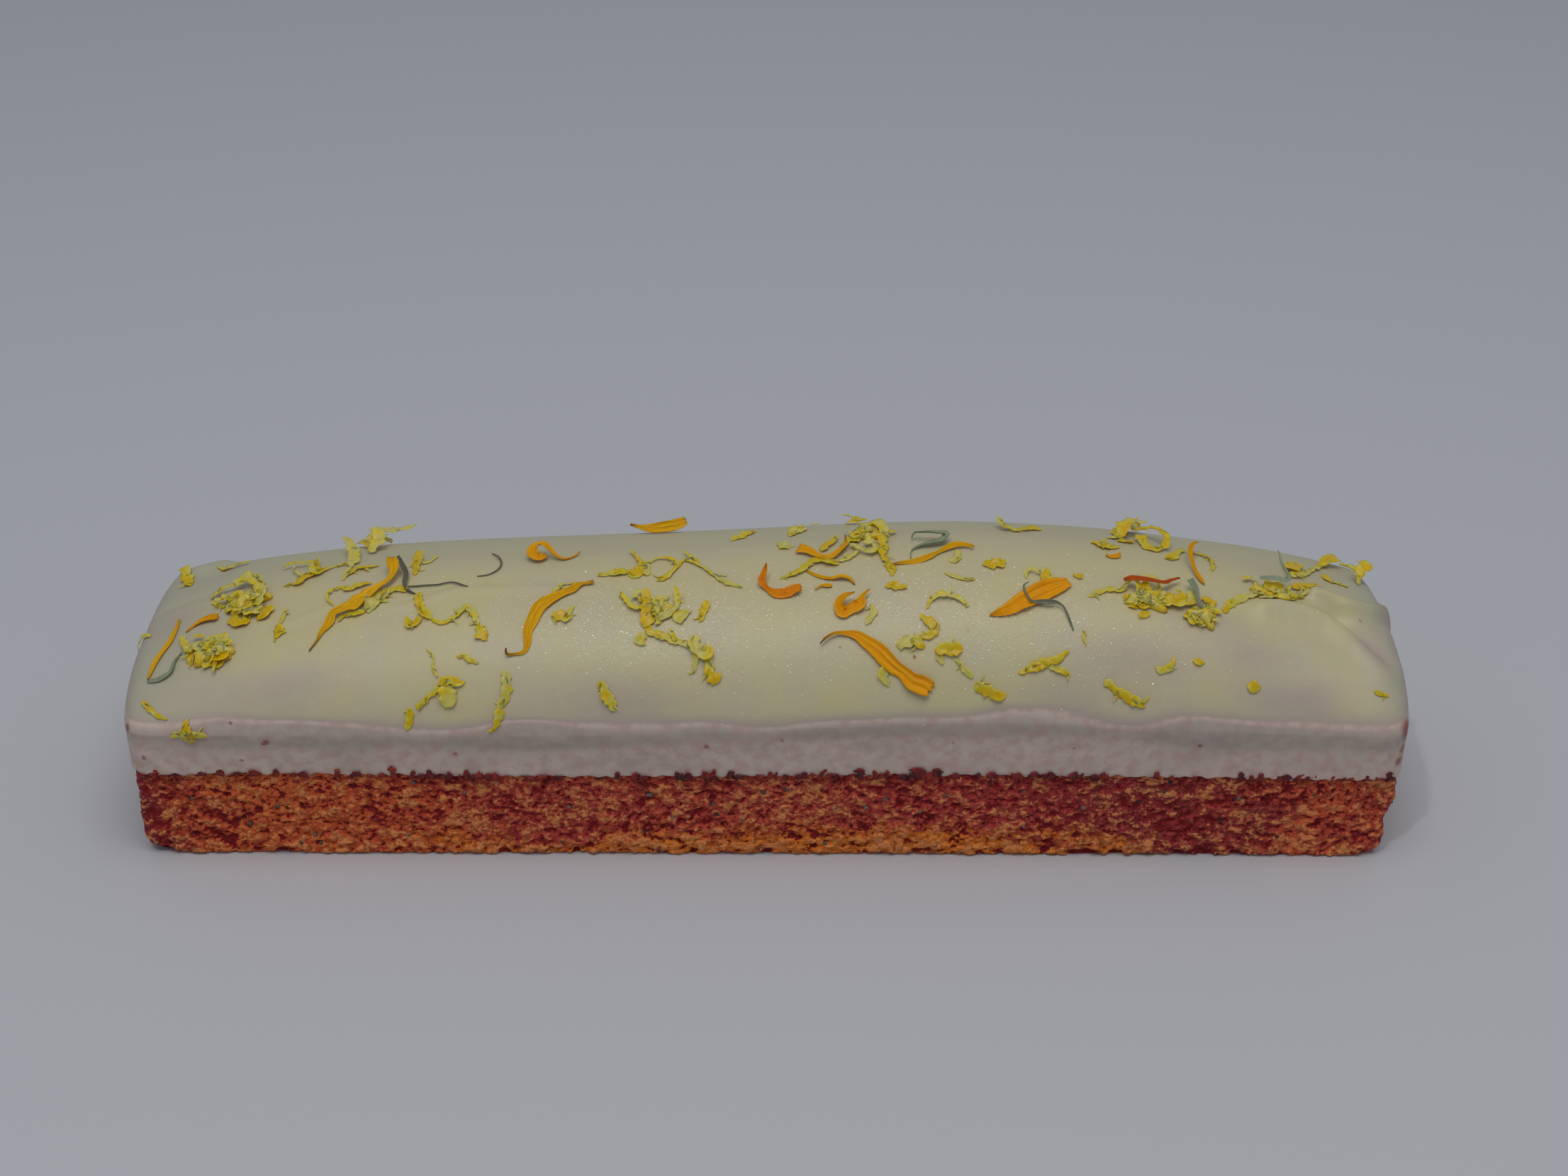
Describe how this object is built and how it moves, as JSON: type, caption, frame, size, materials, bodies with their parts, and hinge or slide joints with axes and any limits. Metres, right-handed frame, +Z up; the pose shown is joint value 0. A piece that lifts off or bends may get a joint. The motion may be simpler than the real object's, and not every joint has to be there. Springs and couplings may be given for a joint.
{
  "type": "loaf cake",
  "caption": "Long lemon and poppy seed loaf cake: plain sponge under a domed cream icing, strewn with lemon zest, marigold petals and bits of dried leaf",
  "frame": {"origin": "middle of the flat foot, on the surface the cake stands on", "axes": "+X along the loaf, +Y from the front to the back, +Z up"},
  "size_m": [0.26, 0.0638, 0.0585],
  "materials": {
    "sponge": "matt open crumb",
    "icing": "satin cream",
    "petal": "dry, ribbed",
    "leaf": "dry, matt",
    "zest": "moist, satin"
  },
  "bodies": {
    "root": {"sponge": "sponge", "icing": "icing", "petal_01": "petal", "petal_02": "petal", "petal_03": "petal", "petal_04": "petal", "petal_05": "petal", "petal_06": "petal", "petal_07": "petal", "petal_08": "petal", "petal_09": "petal", "petal_10": "petal", "petal_11": "petal", "petal_12": "petal", "petal_13": "petal", "petal_14": "petal", "petal_15": "petal", "petal_16": "petal", "petal_17": "petal", "leaf_01": "leaf", "leaf_02": "leaf", "leaf_03": "leaf", "leaf_04": "leaf", "leaf_05": "leaf", "leaf_06": "leaf", "leaf_07": "leaf", "leaf_08": "leaf", "zest_clump_01": "zest", "zest_clump_02": "zest", "zest_clump_03": "zest", "zest_clump_04": "zest", "zest_clump_05": "zest", "zest_clump_06": "zest", "zest_clump_07": "zest"}
  },
  "joints": []
}
